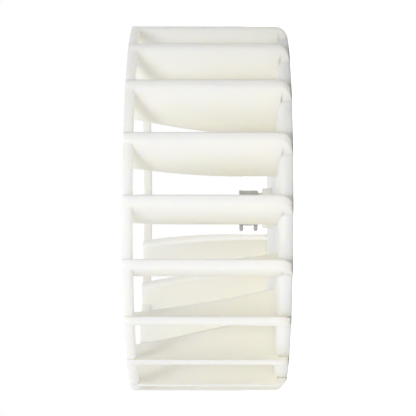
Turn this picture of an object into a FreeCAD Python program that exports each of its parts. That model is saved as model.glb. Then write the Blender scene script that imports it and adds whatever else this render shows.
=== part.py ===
import FreeCAD, Part

import math
import os
import re

import Sketcher
from FreeCAD import Placement, Rotation, Vector

# Dryer blower wheel: a one-piece moulded cage of curved blades between an open front ring and a
# dished back plate with a D-bored hub, and the sprung steel clamp that closes the hub on its shaft.
# The wheel stands on its back plate, its axis along +Z, the origin on the axis in the rearmost plane.

doc = FreeCAD.newDocument("DryerBlowerWheel")

# Every driving size, in millimetres or degrees; a name that ends in _r is a radius.
SIZES = (
    # the blade cage
    ("wheel_r", 101.5, "blade tips"),
    ("wheel_width", 84.0, "overall length along the axis"),
    ("blade_count", 20, "blades, evenly spaced"),
    ("blade_angle", 48.5, "slope of the hollow face at the tip, from the radius"),
    ("hollow_r", 27.2, "arc of a blade's hollow face"),
    ("hollow_sweep", 80.0, "angle of that arc, from the tip inwards"),
    ("belly_thick", 4.64, "blade at its thickest, across the hollow face"),
    ("belly_reach", 19.9, "from the tip to the back of that thickest place"),
    ("tip_land", 5.0, "flat land of a blade at the tip circle"),
    ("edge_thick", 2.6, "blade at the inner end of its hollow arc"),
    ("front_depth", 14.2, "from tip circle to inner edge of a blade at the open front"),
    ("rear_depth", 35.5, "the same at the rear plane"),
    ("section_spare", 8.0, "how far the uncut section reaches inside the throat"),
    ("corner_r", 6.5, "rear outer corner of a blade"),
    # the front ring
    ("ring_width", 5.0, "ring along the axis"),
    ("ring_step", 0.6, "blade tips stand proud of the ring"),
    ("ring_wall", 3.7, "ring from outside to inside"),
    ("ring_bevel", 1.5, "bevel of the ring's rear edge"),
    # the dished back plate
    ("rim_inset", 5.3, "back plate's rim inside the tip circle"),
    ("plate_depth", 7.1, "front face of the plate, ahead of the rear plane"),
    ("plate_wall", 2.4, "wall of the plate and its rim"),
    ("shoulder", 3.6, "bevel between plate and rim"),
    # the hub
    ("boss_r", 11.2, "boss round the foot of the hub"),
    ("boss_height", 5.6, "boss in front of the plate"),
    ("boss_bevel", 0.8, "bevel of the boss's front edge"),
    ("hub_r", 8.7, "hub barrel, and the inside of the clamp"),
    ("hub_neck", 2.35, "bare barrel between the boss and the clamp"),
    ("hub_tail", 3.2, "barrel behind the plate"),
    ("bore_r", 6.35, "half-inch shaft bore"),
    ("bore_flat", 5.15, "flat of the D bore, from the axis"),
    ("pilot_length", 10.0, "round rear part of the bore, from the barrel's rear end"),
    ("pilot_clearance", 0.25, "round part wider than the D part, on the radius"),
    ("mouth_bevel", 0.8, "lead-in at the bore's rear mouth"),
    ("slot_width", 1.6, "slot that lets the barrel close on the shaft"),
    # the spring clamp
    ("band_width", 10.4, "clamp along the axis"),
    ("band_thick", 1.2, "spring steel strip"),
    ("fork_azimuth", 174.5, "where the fork's legs end"),
    ("overlap", 62.0, "angle over which the tongue runs between the legs"),
    ("leg_width", 2.5, "each leg of the fork"),
    ("leg_gap", 0.5, "gap between a leg and the tongue"),
    ("end_gap", 10.0, "angle left free beyond each end of the strip"),
    ("slit_relief", 3.0, "angle that the slits run on past those gaps"),
    ("ear_height", 3.0, "turned-out ends above the band"),
    ("ear_margin", 0.1, "ear narrower than its strip, on each side"),
    ("ear_inset", 2.0, "angle of strip left beyond an ear"),
)

sheet = doc.addObject("Spreadsheet::Sheet", "Sizes")
for row, (alias, number, meaning) in enumerate(SIZES, 1):
    sheet.set(f"A{row}", meaning)
    sheet.set(f"B{row}", str(number))
    sheet.setAlias(f"B{row}", alias)
doc.recompute()
ALIASES = {alias for alias, _, _ in SIZES}

QUARTER = 0.2071  # bulge of a quarter circle: its height over its chord


def bind(thing, prop, text):
    """Tie a property to a formula written with the sizes' names."""
    named = re.sub(r"[a-z]\w*", lambda m: "Sizes." + m.group() if m.group() in ALIASES else m.group(), text)
    thing.setExpression(prop, named)


def origin_part(body, role):
    """A plane or axis of the body's own origin."""
    return next(item for item in body.Origin.OriginFeatures if item.Role == role)


def new_sketch(body, name, role, lift=None, azimuth=None):
    """A sketch on an origin plane of its body, lifted along its normal or turned about Z."""
    sketch = body.newObject("Sketcher::SketchObject", name)
    sketch.AttachmentSupport = [(origin_part(body, role), "")]
    sketch.MapMode = "FlatFace"
    if lift:
        bind(sketch, "AttachmentOffset.Base.z", lift)
    if azimuth:
        sketch.AttachmentOffset = Placement(Vector(), Rotation(Vector(0, 1, 0), 90))
        bind(sketch, "AttachmentOffset.Rotation.Angle", azimuth)
    sketch.Visibility = False
    return sketch


def dimension(sketch, kind, start, end, text):
    """Dimension two points of a sketch with a formula of sizes; start None is the sketch's origin."""
    first = -1 if start is None else start
    index = sketch.addConstraint(Sketcher.Constraint(kind, first, 1, end, 1, 10.0))
    bind(sketch, f"Constraints[{index}]", text)


def join(sketch, start, end, radius=None, bulge=0.0):
    """A line, or an arc that bulges to the right of the way there (to the left where negative)."""
    a, b = (Vector(sketch.Geometry[point].X, sketch.Geometry[point].Y, 0) for point in (start, end))
    if bulge == 0.0:
        edge = sketch.addGeometry(Part.LineSegment(a, b), False)
    else:
        if bulge < 0:
            a, b, start, end = b, a, end, start
        chord = (b - a).Length
        rise = abs(bulge) * chord
        rough_r = (chord * chord / 4 + rise * rise) / (2 * rise)
        middle = (a + b) * 0.5 + Vector(b.y - a.y, a.x - b.x, 0) * ((rise - rough_r) / chord)
        angles = (math.atan2(point.y - middle.y, point.x - middle.x) for point in (a, b))
        rough = Part.Circle(middle, Vector(0, 0, 1), rough_r)
        edge = sketch.addGeometry(Part.ArcOfCircle(rough, *angles), False)
        if radius:
            index = sketch.addConstraint(Sketcher.Constraint("Radius", edge, rough_r))
            bind(sketch, f"Constraints[{index}]", radius)
    sketch.addConstraint(Sketcher.Constraint("Coincident", edge, 1, start, 1))
    sketch.addConstraint(Sketcher.Constraint("Coincident", edge, 2, end, 1))
    return edge


def draw(sketch, corners, arcs=None):
    """A closed profile through dimensioned corners; arcs maps a side's number to (radius, bulge)."""
    points = []
    for number, (across, up) in enumerate(corners, 10):
        point = sketch.addGeometry(Part.Point(Vector(number, number, 0)), True)
        dimension(sketch, "DistanceX", None, point, across)
        dimension(sketch, "DistanceY", None, point, up)
        points.append(point)
    doc.recompute()
    for side, start in enumerate(points):
        join(sketch, start, points[(side + 1) % len(points)], *(arcs or {}).get(side, ()))


def turn(body, kind, name, sketch, angle=None):
    """Turn a profile right round the axis, or by an angle to both sides of its own plane."""
    feature = body.newObject(kind, name)
    feature.Profile = sketch
    feature.ReferenceAxis = (origin_part(body, "Z_Axis"), [""])
    feature.Angle = 360
    if angle:
        feature.Midplane = True
        bind(feature, "Angle", angle)
    grow(body, kind.endswith("Revolution"))


def grow(body, more):
    """Recompute, and stop if the last feature did not add (or remove) material as it should."""
    before = body.Tip.BaseFeature.Shape.Volume if body.Tip.BaseFeature else 0.0
    doc.recompute()
    change = body.Shape.Volume - before
    if (change > 0) != more or abs(change) < 0.01:
        raise RuntimeError(f"{body.Tip.Label} changed the volume by {change:.3f}")


# The wheel: one moulding.
wheel = doc.addObject("PartDesign::Body", "blower_wheel")
wheel.Label = "blower_wheel"

# Front ring: a band just inside the tip circle, its rear outer edge bevelled.
ring_sketch = new_sketch(wheel, "RingProfile", "XZ_Plane")
ring_r = "wheel_r - ring_step"
draw(
    ring_sketch,
    [
        (f"{ring_r} - ring_wall", "wheel_width - ring_width"),
        (f"{ring_r} - ring_bevel", "wheel_width - ring_width"),
        (ring_r, "wheel_width - ring_width + ring_bevel"),
        (ring_r, "wheel_width"),
        (f"{ring_r} - ring_wall", "wheel_width"),
    ],
)
turn(wheel, "PartDesign::Revolution", "Ring", ring_sketch)

# One blade at full length: a hollow face and a fuller rounded back that meet a land on the tip
# circle. Inside them the section runs on towards the axis, past the throat that is cut afterwards
# through all the blades.
blade_sketch = new_sketch(wheel, "BladeSection", "XY_Plane")
tip, centre, land_end, hollow_end, back_end, belly, hollow_root, back_root = (
    blade_sketch.addGeometry(Part.Point(Vector(across, up, 0)), True)
    for across, up in (
        (101.5, 0.0),
        (81.1, 18.0),
        (101.4, -5.0),
        (66.9, -5.2),
        (66.1, -6.5),
        (86.7, -13.3),
        (57.8, -4.5),
        (57.7, -5.7),
    )
)
for point, reach in ((centre, "0"), (hollow_end, "hollow_r"), (back_end, "(hollow_r + edge_thick)")):
    across = f"wheel_r - hollow_r * sin(blade_angle) + {reach} * sin(blade_angle - hollow_sweep)"
    up = f"hollow_r * cos(blade_angle) - {reach} * cos(blade_angle - hollow_sweep)"
    dimension(blade_sketch, "DistanceX", None, point, across)
    dimension(blade_sketch, "DistanceY", None, point, up)
blade_sketch.addConstraint(Sketcher.Constraint("PointOnObject", tip, 1, -1))
dimension(blade_sketch, "DistanceX", None, tip, "wheel_r")
dimension(blade_sketch, "Distance", None, land_end, "wheel_r")
dimension(blade_sketch, "Distance", tip, land_end, "tip_land")
dimension(blade_sketch, "Distance", tip, belly, "belly_reach")
dimension(blade_sketch, "Distance", centre, belly, "hollow_r + belly_thick")
for point in (hollow_root, back_root):
    dimension(blade_sketch, "Distance", None, point, "wheel_r - rear_depth - section_spare")
doc.recompute()
join(blade_sketch, hollow_end, tip, "hollow_r", 0.18)
join(blade_sketch, tip, land_end, "wheel_r", -0.006)
back = join(blade_sketch, land_end, back_end, bulge=-0.2)
blade_sketch.addConstraint(Sketcher.Constraint("PointOnObject", belly, 1, back))
for side in (join(blade_sketch, back_end, back_root), join(blade_sketch, hollow_root, hollow_end)):
    blade_sketch.addConstraint(Sketcher.Constraint("PointOnObject", -1, 1, side))
join(blade_sketch, back_root, hollow_root)
blade = wheel.newObject("PartDesign::Pad", "Blade")
blade.Profile = blade_sketch
bind(blade, "Length", "wheel_width")
grow(wheel, True)

cage = wheel.newObject("PartDesign::PolarPattern", "BladeCage")
cage.Originals = [blade]
cage.Axis = (origin_part(wheel, "Z_Axis"), [""])
cage.Angle = 360
bind(cage, "Occurrences", "blade_count")
wheel.Tip = cage
grow(wheel, True)

# The throat: a cone through the cage that narrows towards the rear, and the space inside the rim.
# Between them it follows the middle of the plate's wall, which is laid in afterwards.
throat_sketch = new_sketch(wheel, "ThroatProfile", "XZ_Plane")
slope = "(rear_depth - front_depth) / wheel_width"
rim_r = "wheel_r - rim_inset"
wall_middle = "plate_depth - plate_wall / 2"
mitre = "(sqrt(2) - 1)"  # keeps a wall even round a bevelled corner
draw(
    throat_sketch,
    [
        ("0", "-1"),
        (f"{rim_r} - plate_wall / 2", "-1"),
        (f"{rim_r} - plate_wall / 2", f"plate_depth - shoulder - {mitre} * plate_wall / 2"),
        (f"{rim_r} - shoulder - {mitre} * plate_wall / 2", wall_middle),
        (f"wheel_r - rear_depth + {slope} * ({wall_middle})", wall_middle),
        (f"wheel_r - front_depth + {slope}", "wheel_width + 1"),
        ("0", "wheel_width + 1"),
    ],
)
turn(wheel, "PartDesign::Groove", "Throat", throat_sketch)

# Rounded rear outer corner of every blade, which runs out at the foot of the rim.
corner_sketch = new_sketch(wheel, "CornerProfile", "XZ_Plane")
draw(
    corner_sketch,
    [
        ("wheel_r - corner_r", "0"),
        ("wheel_r", "corner_r"),
        ("wheel_r + 1", "corner_r"),
        ("wheel_r + 1", "-1"),
        ("wheel_r - corner_r", "-1"),
    ],
    {0: ("corner_r", QUARTER)},
)
turn(wheel, "PartDesign::Groove", "BladeCorners", corner_sketch)

# Back plate: a shallow pan of even wall, open at the rear, with the boss and the hub barrel.
plate_sketch = new_sketch(wheel, "PlateProfile", "XZ_Plane")
hub_front = "plate_depth + boss_height + hub_neck + band_width"
hub_rear = "plate_depth - plate_wall - hub_tail"
draw(
    plate_sketch,
    [
        ("0", hub_rear),
        ("hub_r", hub_rear),
        ("hub_r", "plate_depth - plate_wall"),
        (f"{rim_r} - shoulder - {mitre} * plate_wall", "plate_depth - plate_wall"),
        (f"{rim_r} - plate_wall", f"plate_depth - shoulder - {mitre} * plate_wall"),
        (f"{rim_r} - plate_wall", "0"),
        (rim_r, "0"),
        (rim_r, "plate_depth - shoulder"),
        (f"{rim_r} - shoulder", "plate_depth"),
        ("boss_r", "plate_depth"),
        ("boss_r", "plate_depth + boss_height - boss_bevel"),
        ("boss_r - boss_bevel", "plate_depth + boss_height"),
        ("hub_r", "plate_depth + boss_height"),
        ("hub_r", hub_front),
        ("0", hub_front),
    ],
)
turn(wheel, "PartDesign::Revolution", "BackPlateAndHub", plate_sketch)

# D bore through the hub, and its round rear part, which passes the shaft's full round.
bore_sketch = new_sketch(wheel, "BoreProfile", "XY_Plane")
half_flat = "sqrt(bore_r * bore_r - bore_flat * bore_flat)"
draw(bore_sketch, [(f"-{half_flat}", "bore_flat"), (half_flat, "bore_flat")], {1: ("bore_r", -1.55)})
bore = wheel.newObject("PartDesign::Pocket", "DBore")
bore.Profile = bore_sketch
bore.Midplane = True
bind(bore, "Length", "2 * wheel_width")
grow(wheel, False)

pilot_sketch = new_sketch(wheel, "PilotProfile", "XZ_Plane")
pilot_r = "bore_r + pilot_clearance"
draw(
    pilot_sketch,
    [
        ("0", f"{hub_rear} - 1"),
        (f"{pilot_r} + mouth_bevel + 1", f"{hub_rear} - 1"),
        (pilot_r, f"{hub_rear} + mouth_bevel"),
        (pilot_r, f"{hub_rear} + pilot_length"),
        ("0", f"{hub_rear} + pilot_length"),
    ],
)
turn(wheel, "PartDesign::Groove", "ShaftPilot", pilot_sketch)

# The slot splits the barrel's free end across, down to the boss.
slot_sketch = new_sketch(wheel, "SlotProfile", "XY_Plane", lift="plate_depth + boss_height")
draw(
    slot_sketch,
    [
        ("-hub_r - 1", "-slot_width / 2"),
        ("hub_r + 1", "-slot_width / 2"),
        ("hub_r + 1", "slot_width / 2"),
        ("-hub_r - 1", "slot_width / 2"),
    ],
)
slot = wheel.newObject("PartDesign::Pocket", "HubSlot")
slot.Profile = slot_sketch
slot.Reversed = True
bind(slot, "Length", "hub_neck + band_width + 1")
grow(wheel, False)

# The clamp: one strip of spring steel, rolled round the barrel so that a tongue at one end
# runs between two legs at the other, both ends turned out as ears.
clamp = doc.addObject("PartDesign::Body", "hub_clamp")
clamp.Label = "hub_clamp"
band_rear = "plate_depth + boss_height + hub_neck"
band_out = "hub_r + band_thick"

band_sketch = new_sketch(clamp, "BandProfile", "XZ_Plane")
draw(
    band_sketch,
    [
        ("hub_r", band_rear),
        (band_out, band_rear),
        (band_out, f"{band_rear} + band_width"),
        ("hub_r", f"{band_rear} + band_width"),
    ],
)
turn(clamp, "PartDesign::Revolution", "Band", band_sketch)


def ear(name, azimuth, backwards, spans):
    """Turned-out ends at an azimuth, rounded at the top, between pairs of heights on the band."""
    sketch = new_sketch(clamp, name + "Profile", "XZ_Plane", azimuth=azimuth)
    foot, top, edge_r = "hub_r + band_thick / 2", f"{band_out} + ear_height", "0.4 * leg_width"
    for low, high in spans:
        draw(
            sketch,
            [
                (foot, f"{band_rear} + {low}"),
                (f"{top} - {edge_r}", f"{band_rear} + {low}"),
                (top, f"{band_rear} + {low} + {edge_r}"),
                (top, f"{band_rear} + {high} - {edge_r}"),
                (f"{top} - {edge_r}", f"{band_rear} + {high}"),
                (foot, f"{band_rear} + {high}"),
            ],
            {1: (edge_r, QUARTER), 3: (edge_r, QUARTER)},
        )
    pad = clamp.newObject("PartDesign::Pad", name)
    pad.Profile = sketch
    pad.Reversed = backwards
    bind(pad, "Length", "band_thick")
    grow(clamp, True)


ear(
    "TongueEar",
    "fork_azimuth + overlap - ear_inset",
    False,
    [("leg_width + leg_gap + ear_margin", "band_width - leg_width - leg_gap - ear_margin")],
)
ear(
    "LegEars",
    "fork_azimuth + ear_inset",
    True,
    [
        ("ear_margin", "leg_width - ear_margin"),
        ("band_width - leg_width + ear_margin", "band_width - ear_margin"),
    ],
)


def sector_cut(name, start, end, low, high):
    """Cut the strip between two angles and between two heights above the band's rear edge."""
    reach = f"2 * ({band_out} + ear_height)"
    sketch = new_sketch(clamp, name + "Profile", "XY_Plane", lift=f"{band_rear} + {low}")
    corners = [(f"{reach} * cos({azimuth})", f"{reach} * sin({azimuth})") for azimuth in (start, end)]
    draw(sketch, [("0", "0")] + corners)
    pocket = clamp.newObject("PartDesign::Pocket", name)
    pocket.Profile = sketch
    pocket.Reversed = True
    bind(pocket, "Length", f"{high} - ({low})")
    grow(clamp, False)


# Slits beside the tongue, then the free space beyond the legs' ends and beyond the tongue's end.
slit_start = "fork_azimuth - end_gap - slit_relief"
slit_end = "fork_azimuth + overlap + end_gap + slit_relief"
slit_middle = "leg_width + leg_gap / 2"
sector_cut("RearSlit", slit_start, slit_end, "leg_width", "(leg_width + leg_gap)")
front_slit = ("band_width - leg_width - leg_gap", "(band_width - leg_width)")
sector_cut("FrontSlit", slit_start, slit_end, *front_slit)
sector_cut("RearLegEnd", "fork_azimuth - end_gap", "fork_azimuth", "-1", f"({slit_middle})")
front_end = (f"band_width - ({slit_middle})", "(band_width + 1)")
sector_cut("FrontLegEnd", "fork_azimuth - end_gap", "fork_azimuth", *front_end)
sector_cut(
    "TongueEnd",
    "fork_azimuth + overlap",
    "fork_azimuth + overlap + end_gap",
    slit_middle,
    f"(band_width - ({slit_middle}))",
)

# Nothing is written unless every feature and both solids came out sound.
for item in doc.Objects:
    if "Invalid" in item.State or "Error" in item.State:
        raise RuntimeError(f"{item.Label} did not compute: {item.State}")
os.makedirs("parts", exist_ok=True)
for body in (wheel, clamp):
    if body.Shape.isNull() or not body.Shape.isValid() or len(body.Shape.Solids) != 1:
        raise RuntimeError(f"{body.Label} is not one sound solid")
    body.Shape.exportStep(f"parts/{body.Label}.step")
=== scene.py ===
import math

import bmesh
import bpy
from mathutils import Matrix, Vector


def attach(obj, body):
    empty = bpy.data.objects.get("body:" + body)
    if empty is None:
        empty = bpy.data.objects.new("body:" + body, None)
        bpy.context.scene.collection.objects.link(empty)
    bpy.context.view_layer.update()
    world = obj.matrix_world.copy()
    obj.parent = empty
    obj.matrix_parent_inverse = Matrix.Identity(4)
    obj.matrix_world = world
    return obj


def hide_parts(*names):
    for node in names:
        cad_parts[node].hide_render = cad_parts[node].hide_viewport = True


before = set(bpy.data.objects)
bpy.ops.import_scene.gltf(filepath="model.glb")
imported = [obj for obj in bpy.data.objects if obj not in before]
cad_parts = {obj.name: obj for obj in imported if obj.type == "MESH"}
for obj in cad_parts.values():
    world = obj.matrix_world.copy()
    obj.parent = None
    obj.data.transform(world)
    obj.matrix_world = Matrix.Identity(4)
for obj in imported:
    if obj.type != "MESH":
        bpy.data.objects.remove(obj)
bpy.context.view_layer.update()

# The camera looks across the axis at the side of the wheel, turned so that the wheel lies over:
# its open front to the left of the picture and its back plate to the right.
CAMERA_DISTANCE = 0.7895
CAMERA_HEIGHT = 0.0429
CAMERA_AZIMUTH = math.radians(-93.80)
CAMERA_YAW = math.radians(0.54)
CAMERA_ROLL = math.radians(0.10)
CAMERA_LENS = 122.1
CAMERA_FILM_WIDTH = 36
CAMERA_NEAREST = 0.01

outward = Vector((math.cos(CAMERA_AZIMUTH), math.sin(CAMERA_AZIMUTH), 0))
along_axis = Vector((0, 0, 1))
picture_up = Vector((-outward.y, outward.x, 0))
towards_camera = math.cos(CAMERA_YAW) * outward - math.sin(CAMERA_YAW) * along_axis
picture_right = -math.cos(CAMERA_YAW) * along_axis - math.sin(CAMERA_YAW) * outward
camera_right = math.cos(CAMERA_ROLL) * picture_right + math.sin(CAMERA_ROLL) * picture_up
camera_up = math.cos(CAMERA_ROLL) * picture_up - math.sin(CAMERA_ROLL) * picture_right
camera_place = CAMERA_HEIGHT * along_axis + CAMERA_DISTANCE * towards_camera
camera_data = bpy.data.cameras.new("camera")
camera_data.lens = CAMERA_LENS
camera_data.sensor_width = CAMERA_FILM_WIDTH
camera_data.clip_start = CAMERA_NEAREST
camera = bpy.data.objects.new("camera", camera_data)
bpy.context.collection.objects.link(camera)
camera.matrix_world = Matrix((
    (camera_right.x, camera_up.x, towards_camera.x, camera_place.x),
    (camera_right.y, camera_up.y, towards_camera.y, camera_place.y),
    (camera_right.z, camera_up.z, towards_camera.z, camera_place.z),
    (0, 0, 0, 1),
))
bpy.context.scene.camera = camera
bpy.context.scene.view_settings.view_transform = "Standard"

# The front ring: a plain band of plastic that ties the blades' open ends, moulded in one with them.
# Its rear outer edge is well rounded; every other edge has the small radius that a tool leaves.
MM = 0.001
WHEEL_R = 101.5
WHEEL_WIDTH = 84.0
RING_R = 100.9
RING_INNER_R = 97.2
RING_REAR = 79.0
RING_EDGE_R = 2.0
EDGE_R = 0.4
CORNER_STEPS = 5
TURN_STEPS = 360


def rounded(corners):
    """A closed profile through corners of (across, up, radius), each rounded to its radius."""
    places = [Vector(corner[:2]) for corner in corners]
    outline = []
    for here, place in enumerate(places):
        radius = corners[here][2]
        if not radius:
            outline.append(place)
            continue
        before = (places[here - 1] - place).normalized()
        after = (places[(here + 1) % len(places)] - place).normalized()
        half = before.angle(after) / 2
        middle = place + (before + after).normalized() * radius / math.sin(half)
        start = (place + before * radius / math.tan(half) - middle).normalized()
        end = (place + after * radius / math.tan(half) - middle).normalized()
        shares = [step / CORNER_STEPS for step in range(CORNER_STEPS + 1)]
        outline += [middle + start.slerp(end, share) * radius for share in shares]
    return outline


def turned(mesh, outline, reach_at=lambda reach, angle: reach):
    """Turn a closed profile about the axis; reach_at may bend a radius with the angle."""
    loops = []
    for segment in range(TURN_STEPS):
        angle = math.tau * segment / TURN_STEPS
        across, along = math.cos(angle) * MM, math.sin(angle) * MM
        reaches = [(reach_at(point.x, angle), point.y * MM) for point in outline]
        loops.append([mesh.verts.new((reach * across, reach * along, up)) for reach, up in reaches])
    skin(mesh, loops + loops[:1])


def skin(mesh, loops):
    """Join rings of points, each to the next, with four-sided faces."""
    for near, far in zip(loops, loops[1:]):
        for corner in range(len(near)):
            mesh.faces.new((near[corner], near[corner - 1], far[corner - 1], far[corner]))


turned_parts = bmesh.new()
turned(turned_parts, rounded([
    (RING_INNER_R, RING_REAR, EDGE_R),
    (RING_R, RING_REAR, RING_EDGE_R),
    (RING_R, WHEEL_WIDTH, EDGE_R),
    (RING_INNER_R, WHEEL_WIDTH, EDGE_R),
]))

# The blades: part of the same moulding, curved in section, hollow towards the way the wheel turns,
# with a full rounded back. They taper from the back plate to the ring, and a small radius eases
# them into the plate.
BLADE_COUNT = 20
BLADE_ANGLE = math.radians(48.5)
HOLLOW_R = 27.2
BACK_R = 25.3
TIP_LAND = 5.0
INNER_THICK = 1.6
SECTION_R = 62.0
THROAT_FRONT_R = 87.3
THROAT_REAR_R = 66.0
NOSE_R = 0.15
HEEL_R = 4.0
INNER_EDGE_R = 1.25
CORNER_R = 6.5
PLATE_DEPTH = 7.1
FOOT_IN_RIM_R = 94.0
FOOT_IN_RIM_DEPTH = 5.0
FOOT_RADIUS = 1.1
FOOT_FADE_R = 92.2
FOOT_FADE_WIDTH = 3.0
SPREAD_DEPTH = 0.1
FOOT_DEPTHS = (0.12, 0.05)
FOOT_SHARES = (0.08, 0.2, 0.4, 0.65, 0.99)
THROAT_START = 6.0
WIDEST_CORNER = 0.3
SMALLEST_R = 0.03
REAR_GAP = 0.04
FRONT_GAP = 0.03
FACE_STEPS = 22
NOSE_STEPS = 8
LAND_STEPS = 3
FOOT_STEPS = 8
TAPER_START = 9.5
TAPER_STEPS = 14
END_STEPS = 3
LARGEST_TRIM = 0.99


def crossing(centre, radius, reach):
    """Where a face's circle meets the circle of radius reach about the axis, on the blade's side."""
    far = centre.length
    along = (far * far + reach * reach - radius * radius) / (2 * far)
    aside = math.sqrt(reach * reach - along * along)
    unit = centre / far
    return unit * along + Vector((unit.y, -unit.x)) * aside


hollow_centre = Vector((WHEEL_R - HOLLOW_R * math.sin(BLADE_ANGLE), HOLLOW_R * math.cos(BLADE_ANGLE)))
land_angle = 2 * math.asin(TIP_LAND / 2 / WHEEL_R)
land_end = Vector((WHEEL_R * math.cos(land_angle), -WHEEL_R * math.sin(land_angle)))
back_end = crossing(hollow_centre, HOLLOW_R + INNER_THICK, SECTION_R)
back_chord = back_end - land_end
back_rise = math.sqrt(BACK_R * BACK_R - back_chord.length_squared / 4)
back_centre = (land_end + back_end) / 2 + Vector((back_chord.y, -back_chord.x)).normalized() * back_rise


def sweep(middle, start, end, radius, steps):
    """Points of an arc about a middle, from one direction to another, without its last point."""
    first = math.atan2(start.y, start.x)
    turn = (math.atan2(end.y, end.x) - first + math.pi) % math.tau - math.pi
    angles = [first + turn * step / steps for step in range(steps)]
    return [middle + Vector((math.cos(angle), math.sin(angle))) * radius for angle in angles]


def blade_outline(inner, outer, trim=0.0):
    """A blade's section between two radii, its four corners rounded; trim draws it in all round."""
    room = WIDEST_CORNER * (outer - inner)
    corners = (NOSE_R, HEEL_R, INNER_EDGE_R)
    nose, heel, edge = (max(SMALLEST_R, min(radius, room) - trim) for radius in corners)
    hollow, back = HOLLOW_R + trim, BACK_R - trim
    inner, outer = inner + trim, outer - trim
    at_nose = crossing(hollow_centre, hollow + nose, outer - nose)
    at_heel = crossing(back_centre, back - heel, outer - heel)
    at_back = crossing(back_centre, back - edge, inner + edge)
    at_front = crossing(hollow_centre, hollow + edge, inner + edge)
    return (
        sweep(hollow_centre, at_front - hollow_centre, at_nose - hollow_centre, hollow, FACE_STEPS)
        + sweep(at_nose, hollow_centre - at_nose, at_nose, nose, NOSE_STEPS)
        + sweep(Vector((0, 0)), at_nose, at_heel, outer, LAND_STEPS)
        + sweep(at_heel, at_heel, at_heel - back_centre, heel, CORNER_STEPS)
        + sweep(back_centre, at_heel - back_centre, at_back - back_centre, back, FACE_STEPS)
        + sweep(at_back, at_back - back_centre, -at_back, edge, CORNER_STEPS)
        + sweep(at_front, -at_front, hollow_centre - at_front, edge, CORNER_STEPS)
    )


def eased(outline, height):
    """Spread the foot of a blade where it runs into the flat of the plate."""
    lift = max(0.0, height - PLATE_DEPTH)
    if height < PLATE_DEPTH - SPREAD_DEPTH or lift >= FOOT_RADIUS:
        return outline
    spread = FOOT_RADIUS - math.sqrt(FOOT_RADIUS ** 2 - (FOOT_RADIUS - lift) ** 2)
    moved = []
    for here, point in enumerate(outline):
        along = (outline[(here + 1) % len(outline)] - outline[here - 1]).normalized()
        share = min(1.0, max(0.0, (FOOT_FADE_R - point.length) / FOOT_FADE_WIDTH))
        moved.append(point + Vector((-along.y, along.x)) * spread * share)
    return moved


def tip_reach(height):
    """How far out a blade reaches at a height: less within its rounded rear corner."""
    return WHEEL_R - CORNER_R + math.sqrt(CORNER_R ** 2 - max(0.0, CORNER_R - height) ** 2)


def blade_levels():
    """Heights and outlines of one blade, from the foot inside the rim up to the open end."""
    levels = []
    for step in range(FOOT_STEPS + 1):
        height = max(REAR_GAP, FOOT_IN_RIM_DEPTH * (1 - math.cos(math.pi / 2 * step / FOOT_STEPS)))
        levels.append((height, blade_outline(FOOT_IN_RIM_R, tip_reach(height))))
    full = WHEEL_WIDTH - FRONT_GAP - EDGE_R
    heights = [THROAT_START, CORNER_R]
    heights += [PLATE_DEPTH - depth for depth in FOOT_DEPTHS]
    heights += [PLATE_DEPTH + FOOT_RADIUS * share for share in FOOT_SHARES]
    heights += [TAPER_START + (full - TAPER_START) * step / TAPER_STEPS for step in range(TAPER_STEPS + 1)]
    places = [(height, 0.0) for height in heights]
    for step in range(1, END_STEPS + 1):
        angle = math.pi / 2 * step / END_STEPS
        places.append((full + EDGE_R * math.sin(angle), EDGE_R * (1 - math.cos(angle)) * LARGEST_TRIM))
    for height, trim in places:
        inner = THROAT_REAR_R + (THROAT_FRONT_R - THROAT_REAR_R) * height / WHEEL_WIDTH
        levels.append((height, eased(blade_outline(inner, tip_reach(height), trim), height)))
    return levels


blades_mesh = bmesh.new()
for blade in range(BLADE_COUNT):
    about = Matrix.Rotation(math.tau * blade / BLADE_COUNT, 2)
    loops = []
    for height, outline in blade_levels():
        places = [about @ point * MM for point in outline]
        loops.append([blades_mesh.verts.new((place.x, place.y, height * MM)) for place in places])
    skin(blades_mesh, loops)
    blades_mesh.faces.new(loops[0])
    blades_mesh.faces.new(reversed(loops[-1]))

# The back plate and hub: still the same moulding, a shallow pan of even wall, open at the rear, with
# a boss and a barrel. The shaft's bore is round at the rear and D-shaped ahead of that.
RIM_R = 96.2
PLATE_WALL = 2.4
SHOULDER_R = 4.0
BOSS_R = 11.2
BOSS_FRONT = 12.7
BOSS_EDGE_R = 1.0
BOSS_FOOT_R = 1.2
HUB_R = 8.7
HUB_REAR = 1.5
HUB_FRONT = 25.45
BORE_R = 6.35
BORE_FLAT = 5.15
PILOT_R = 6.6
PILOT_FRONT = 11.5
MOUTH_BEVEL = 0.8
SAME_R = 0.001
FLAT_SIDE = 0.1


def flattened(reach, angle):
    """Draw the D bore's wall in where its flat lies, on the +Y side; other radii stay."""
    if abs(reach - BORE_R) > SAME_R or math.sin(angle) < FLAT_SIDE:
        return reach
    return min(BORE_R, BORE_FLAT / math.sin(angle))


turned(turned_parts, rounded([
    (PILOT_R + MOUTH_BEVEL, HUB_REAR, 0),
    (HUB_R, HUB_REAR, EDGE_R),
    (HUB_R, PLATE_DEPTH - PLATE_WALL, EDGE_R),
    (RIM_R - PLATE_WALL, PLATE_DEPTH - PLATE_WALL, SHOULDER_R - PLATE_WALL),
    (RIM_R - PLATE_WALL, 0, EDGE_R),
    (RIM_R, 0, EDGE_R),
    (RIM_R, PLATE_DEPTH, SHOULDER_R),
    (BOSS_R, PLATE_DEPTH, BOSS_FOOT_R),
    (BOSS_R, BOSS_FRONT, BOSS_EDGE_R),
    (HUB_R, BOSS_FRONT, EDGE_R),
    (HUB_R, HUB_FRONT, EDGE_R),
    (BORE_R, HUB_FRONT, 0),
    (BORE_R, PILOT_FRONT, 0),
    (PILOT_R, PILOT_FRONT, 0),
    (PILOT_R, HUB_REAR + MOUTH_BEVEL, 0),
]), flattened)

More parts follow.
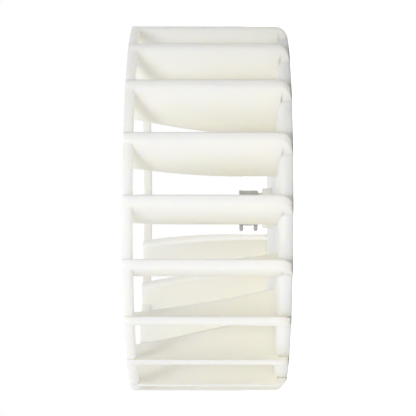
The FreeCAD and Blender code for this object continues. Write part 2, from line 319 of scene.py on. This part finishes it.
# The slot: it is moulded across the barrel's free end, just ahead of the boss, and splits the
# barrel in two halves, so that the clamp can close them on the shaft.
SLOT_WIDTH = 1.6
SLOT_OFF_BOSS = 0.02
SLOT_CUT_HEIGHT = 20
SLOT_CUT_LENGTH = 2 * (HUB_R + 1)
slot_mesh = bmesh.new()
slot_place = Matrix.Translation((0, 0, (BOSS_FRONT + SLOT_OFF_BOSS + SLOT_CUT_HEIGHT / 2) * MM))
slot_size = Matrix.Diagonal((SLOT_CUT_LENGTH * MM, SLOT_WIDTH * MM, SLOT_CUT_HEIGHT * MM, 1))
bmesh.ops.create_cube(slot_mesh, size=1.0, matrix=slot_place @ slot_size)

# The whole moulding: ring, blades, plate and hub come out of the tool as one shot of plastic, so
# the slot is cut here and the rest is joined into one closed skin.
SHARP_FROM = math.radians(35)


def solid(name, mesh):
    """Make an object of a closed mesh."""
    data = bpy.data.meshes.new(name)
    mesh.to_mesh(data)
    mesh.free()
    item = bpy.data.objects.new(name, data)
    bpy.context.collection.objects.link(item)
    return item


wheel = solid("wheel_moulding", turned_parts)
tools = ((solid("hub_slot", slot_mesh), "DIFFERENCE"), (solid("blades", blades_mesh), "UNION"))
for tool, operation in tools:
    step = wheel.modifiers.new(tool.name, "BOOLEAN")
    step.operation = operation
    step.solver = "EXACT"
    step.object = tool
graph = bpy.context.evaluated_depsgraph_get()
wheel_mesh = bpy.data.meshes.new_from_object(wheel.evaluated_get(graph))
wheel.modifiers.clear()
wheel.data = wheel_mesh
for tool, _ in tools:
    bpy.data.objects.remove(tool)
wheel_mesh.shade_smooth()
wheel_mesh.set_sharp_from_angle(angle=SHARP_FROM)
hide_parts("blower_wheel")
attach(wheel, "root")

# The wheel's plastic: off-white polypropylene with a satin skin from the tool. It lets some light
# through, and the hemmed-in places are painted a lighter, warmer colour by an occlusion mask: painted
# glow that stands in for the light reaching them only through the plastic or off it.
PLASTIC_OPEN = (0.93, 0.918, 0.882, 1)
# Painted glow: the lighter, warmer colour that is painted into hemmed-in places.
PLASTIC_PAINTED_GLOW = (0.99, 0.965, 0.868, 1)
PLASTIC_FLOW = (0.92, 0.905, 0.86, 1)
FLOW_SHARE = (0.0, 0.5)
PAINTED_GLOW_WITHIN = 0.045
PAINTED_GLOW_TO_OPEN = (0.4, 0.95)
SKIN_ROUGHNESS = (0.36, 0.50)
SOFT_EDGE_R = 0.0012
GRAIN_STRETCH = (900, 900, 900)
GRAIN_DEPTH = 0.10


def new_material(name):
    """A material with a bare Principled shader; returns the material, its nodes, links and shader."""
    material = bpy.data.materials.new(name)
    material.use_nodes = True
    nodes, links = material.node_tree.nodes, material.node_tree.links
    return material, nodes, links, nodes["Principled BSDF"]


def value_range(nodes, links, source, given, wanted):
    """Spread a value that lies between two given ends over the two wanted ends."""
    node = nodes.new("ShaderNodeMapRange")
    node.inputs["From Min"].default_value, node.inputs["From Max"].default_value = given
    node.inputs["To Min"].default_value, node.inputs["To Max"].default_value = wanted
    links.new(source, node.inputs["Value"])
    return node.outputs["Result"]


def colour_mix(nodes, links, factor, first, second):
    """Mix two colours, each a tuple or a socket, by a factor."""
    node = nodes.new("ShaderNodeMix")
    node.data_type = "RGBA"
    links.new(factor, node.inputs["Factor"])
    for name, colour in (("A", first), ("B", second)):
        if isinstance(colour, tuple):
            node.inputs[name].default_value = colour
        else:
            links.new(colour, node.inputs[name])
    return node.outputs["Result"]


# Fine marks that a surface has from its making, for the plastic and the steel: how deep they are
# and how they stretch along the axis; out come a mask of the marks and the bumped normal.
marks = bpy.data.node_groups.new("making_marks", "ShaderNodeTree")
marks.interface.new_socket("Stretch", in_out="INPUT", socket_type="NodeSocketVector")
marks.interface.new_socket("Depth", in_out="INPUT", socket_type="NodeSocketFloat")
marks.interface.new_socket("Normal", in_out="INPUT", socket_type="NodeSocketVector")
marks.interface.new_socket("Mask", in_out="OUTPUT", socket_type="NodeSocketFloat")
marks.interface.new_socket("Normal", in_out="OUTPUT", socket_type="NodeSocketVector")
given = marks.nodes.new("NodeGroupInput")
result = marks.nodes.new("NodeGroupOutput")
coords = marks.nodes.new("ShaderNodeTexCoord")
stretched = marks.nodes.new("ShaderNodeVectorMath")
stretched.operation = "MULTIPLY"
marks.links.new(coords.outputs["Object"], stretched.inputs[0])
marks.links.new(given.outputs["Stretch"], stretched.inputs[1])
fine = marks.nodes.new("ShaderNodeTexNoise")
fine.inputs["Scale"].default_value = 1.0
fine.inputs["Detail"].default_value = 3
marks.links.new(stretched.outputs["Vector"], fine.inputs["Vector"])
bump = marks.nodes.new("ShaderNodeBump")
bump.inputs["Distance"].default_value = 0.0002
marks.links.new(given.outputs["Depth"], bump.inputs["Strength"])
marks.links.new(given.outputs["Normal"], bump.inputs["Normal"])
marks.links.new(fine.outputs["Fac"], bump.inputs["Height"])
marks.links.new(fine.outputs["Fac"], result.inputs["Mask"])
marks.links.new(bump.outputs["Normal"], result.inputs["Normal"])


def add_marks(nodes, stretch, depth):
    """Put the marks into a material; returns the group node."""
    node = nodes.new("ShaderNodeGroup")
    node.node_tree = marks
    node.inputs["Stretch"].default_value = stretch
    node.inputs["Depth"].default_value = depth
    return node


plastic, nodes, links, shader = new_material("moulded_plastic")
shader.inputs["IOR"].default_value = 1.49
shader.inputs["Subsurface Weight"].default_value = 0.6
shader.inputs["Subsurface Radius"].default_value = (1.0, 0.85, 0.55)
shader.inputs["Subsurface Scale"].default_value = 0.007
coords = nodes.new("ShaderNodeTexCoord")
flow = nodes.new("ShaderNodeTexNoise")
flow.inputs["Scale"].default_value = 28
flow.inputs["Detail"].default_value = 4
flow.inputs["Distortion"].default_value = 0.6
links.new(coords.outputs["Object"], flow.inputs["Vector"])
flow_mask = value_range(nodes, links, flow.outputs["Fac"], (0.5, 0.8), FLOW_SHARE)
# Painted glow: an occlusion mask paints hemmed-in places lighter and warmer, standing in for light through
# and off the plastic.
openness = nodes.new("ShaderNodeAmbientOcclusion")
openness.samples = 8
openness.inputs["Distance"].default_value = PAINTED_GLOW_WITHIN
painted_glow_mask = value_range(nodes, links, openness.outputs["AO"], PAINTED_GLOW_TO_OPEN, (1, 0))
surface = colour_mix(nodes, links, flow_mask, PLASTIC_OPEN, PLASTIC_FLOW)
links.new(colour_mix(nodes, links, painted_glow_mask, surface, PLASTIC_PAINTED_GLOW), shader.inputs["Base Color"])
soft_edges = nodes.new("ShaderNodeBevel")
soft_edges.samples = 6
soft_edges.inputs["Radius"].default_value = SOFT_EDGE_R
grain = add_marks(nodes, GRAIN_STRETCH, GRAIN_DEPTH)
links.new(soft_edges.outputs["Normal"], grain.inputs["Normal"])
links.new(grain.outputs["Normal"], shader.inputs["Normal"])
skin_gloss = value_range(nodes, links, grain.outputs["Mask"], (0.2, 0.8), SKIN_ROUGHNESS)
links.new(skin_gloss, shader.inputs["Roughness"])
wheel_mesh.materials.append(plastic)

# The hub clamp: a strip of spring steel, bent round the barrel, its tongue sprung between two legs.
# The strip keeps the fine lines of the rolling mill and the dull grey of its tempering.
STEEL_BRIGHT = (0.60, 0.59, 0.57, 1)
STEEL_DULL = (0.45, 0.44, 0.42, 1)
STEEL_ROUGHNESS = (0.34, 0.52)
STAIN_SHARE = (0.0, 0.8)
MILL_STRETCH = (90, 90, 2600)
MILL_DEPTH = 0.25
steel, nodes, links, shader = new_material("spring_steel")
shader.inputs["Metallic"].default_value = 1.0
mill_lines = add_marks(nodes, MILL_STRETCH, MILL_DEPTH)
coords = nodes.new("ShaderNodeTexCoord")
stain = nodes.new("ShaderNodeTexNoise")
stain.inputs["Scale"].default_value = 260
stain.inputs["Detail"].default_value = 5
links.new(coords.outputs["Object"], stain.inputs["Vector"])
stain_mask = value_range(nodes, links, stain.outputs["Fac"], (0.42, 0.72), STAIN_SHARE)
lined = colour_mix(nodes, links, mill_lines.outputs["Mask"], STEEL_BRIGHT, STEEL_DULL)
links.new(colour_mix(nodes, links, stain_mask, lined, STEEL_DULL), shader.inputs["Base Color"])
links.new(mill_lines.outputs["Normal"], shader.inputs["Normal"])
dullness = value_range(nodes, links, stain.outputs["Fac"], (0.3, 0.7), STEEL_ROUGHNESS)
links.new(dullness, shader.inputs["Roughness"])
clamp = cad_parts["hub_clamp"]
for material_slot in clamp.material_slots:
    material_slot.material = steel

# The studio: a pale floor, a white surround that is brighter in front of the wheel and below the
# picture than above it, and one soft lamp over the open front.
HALF_FLOOR = 1.6
FLOOR_COLOUR = (0.9, 0.9, 0.9, 1)
FLOOR_GLOW = 0.55
FRONT_GLOW = 0.86
LOW_GLOW = 0.74
LAMP_SIZE = 0.35
LAMP_WATTS = 5.9
LAMP_OUTWARD = 1.05
LAMP_AHEAD = 0.90

floor_mesh = bpy.data.meshes.new("floor")
floor_corners = (
    (-HALF_FLOOR, -HALF_FLOOR, 0),
    (HALF_FLOOR, -HALF_FLOOR, 0),
    (HALF_FLOOR, HALF_FLOOR, 0),
    (-HALF_FLOOR, HALF_FLOOR, 0),
)
floor_mesh.from_pydata(floor_corners, [], [(0, 1, 2, 3)])
floor = bpy.data.objects.new("floor", floor_mesh)
bpy.context.collection.objects.link(floor)
floor_paint, nodes, links, shader = new_material("floor_paint")
shader.inputs["Base Color"].default_value = FLOOR_COLOUR
shader.inputs["Roughness"].default_value = 0.9
shader.inputs["Emission Color"].default_value = (1, 1, 1, 1)
light_path = nodes.new("ShaderNodeLightPath")
glow = nodes.new("ShaderNodeMath")
glow.operation = "MULTIPLY"
glow.inputs[1].default_value = FLOOR_GLOW
links.new(light_path.outputs["Is Camera Ray"], glow.inputs[0])
links.new(glow.outputs["Value"], shader.inputs["Emission Strength"])
floor_mesh.materials.append(floor_paint)

world = bpy.data.worlds.new("surround")
bpy.context.scene.world = world
world.use_nodes = True
nodes, links = world.node_tree.nodes, world.node_tree.links
surround = nodes["Background"]
surround.inputs["Color"].default_value = (1, 1, 1, 1)


def glow_towards(side, brightest):
    """The strength of the surround's light: the given one straight at a side, none from behind."""
    looking = nodes.new("ShaderNodeTexCoord")
    facing = nodes.new("ShaderNodeVectorMath")
    facing.operation = "DOT_PRODUCT"
    facing.inputs[1].default_value = side * brightest
    links.new(looking.outputs["Generated"], facing.inputs[0])
    ahead = nodes.new("ShaderNodeMath")
    ahead.operation = "MAXIMUM"
    ahead.inputs[1].default_value = 0
    links.new(facing.outputs["Value"], ahead.inputs[0])
    return ahead.outputs["Value"]


both_glows = nodes.new("ShaderNodeMath")
both_glows.operation = "ADD"
links.new(glow_towards(along_axis, FRONT_GLOW), both_glows.inputs[0])
links.new(glow_towards(-picture_up, LOW_GLOW), both_glows.inputs[1])
light_path = nodes.new("ShaderNodeLightPath")
seen = light_path.outputs["Is Camera Ray"]
for ray in ("Is Glossy Ray", "Is Transmission Ray"):
    either = nodes.new("ShaderNodeMath")
    either.operation = "MAXIMUM"
    links.new(seen, either.inputs[0])
    links.new(light_path.outputs[ray], either.inputs[1])
    seen = either.outputs["Value"]
strength = nodes.new("ShaderNodeMapRange")
strength.inputs["To Max"].default_value = 1.0
links.new(seen, strength.inputs["Value"])
links.new(both_glows.outputs["Value"], strength.inputs["To Min"])
links.new(strength.outputs["Result"], surround.inputs["Strength"])

# The lamp is square, hangs ahead of the wheel on the camera's side and is aimed at its middle, so
# the ring throws a short shadow on the blades.
lamp_place = LAMP_OUTWARD * outward + LAMP_AHEAD * along_axis
lamp_data = bpy.data.lights.new("lamp", "AREA")
lamp_data.size = LAMP_SIZE
lamp_data.energy = LAMP_WATTS
lamp = bpy.data.objects.new("lamp", lamp_data)
lamp.location = lamp_place
lamp.rotation_euler = (CAMERA_HEIGHT * along_axis - lamp_place).to_track_quat("-Z", "Y").to_euler()
bpy.context.collection.objects.link(lamp)
